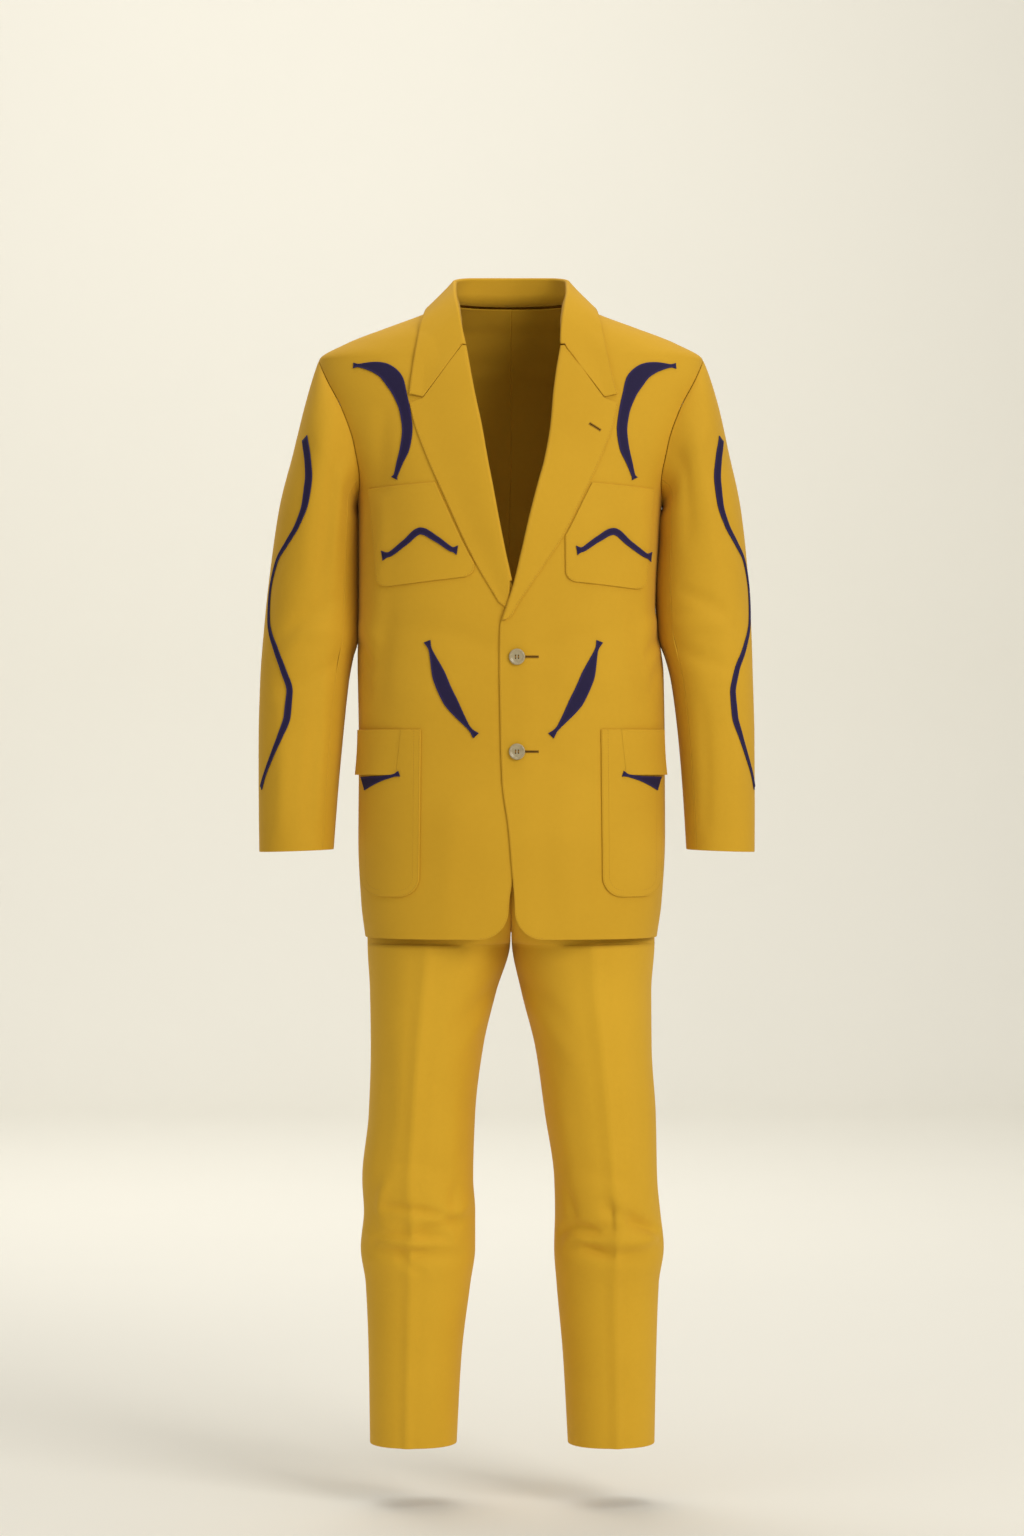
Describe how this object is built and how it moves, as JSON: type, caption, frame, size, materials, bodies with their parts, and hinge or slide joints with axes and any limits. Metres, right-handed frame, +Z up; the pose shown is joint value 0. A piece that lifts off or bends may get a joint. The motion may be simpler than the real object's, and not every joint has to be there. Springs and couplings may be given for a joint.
{
  "type": "western suit",
  "caption": "Mustard yellow western suit in a hollow worn pose: notch-lapel jacket with dark applique arcs, arrows and sleeve waves, over straight creased trousers.",
  "frame": {"origin": "centre of the neck at its base, where the wearer's neck and shoulders hold the jacket up", "axes": "+Z up, -Y the way the suit faces, +X the wearer's left"},
  "size_m": [0.6085, 0.2702, 1.44],
  "materials": {
    "gabardine": "matt wool twill with a faint sheen",
    "applique": "matt dark navy wool with a raised edge",
    "button": "pearl grey, rimmed, softly glossy"
  },
  "bodies": {
    "root": {"applique_arrow_left": "applique", "applique_arrow_right": "applique", "applique_crescent_left": "applique", "applique_crescent_right": "applique", "applique_dart_left": "applique", "applique_dart_right": "applique", "applique_pocket_inset_left": "applique", "applique_pocket_inset_right": "applique", "applique_sleeve_wave_left": "applique", "applique_sleeve_wave_right": "applique", "breast_flap_left": "gabardine", "breast_flap_right": "gabardine", "button_lower": "button", "button_upper": "button", "collar": "gabardine", "hip_flap_left": "gabardine", "hip_flap_right": "gabardine", "hip_pocket_left": "gabardine", "hip_pocket_right": "gabardine", "jacket_back_left": "gabardine", "jacket_back_right": "gabardine", "jacket_front_left": "gabardine", "jacket_front_right": "gabardine", "lapel_left": "gabardine", "lapel_right": "gabardine", "sleeve_top_left": "gabardine", "sleeve_top_right": "gabardine", "sleeve_under_left": "gabardine", "sleeve_under_right": "gabardine", "trouser_back_left": "gabardine", "trouser_back_right": "gabardine", "trouser_front_left": "gabardine", "trouser_front_right": "gabardine", "trouser_waistband": "gabardine"}
  },
  "joints": []
}
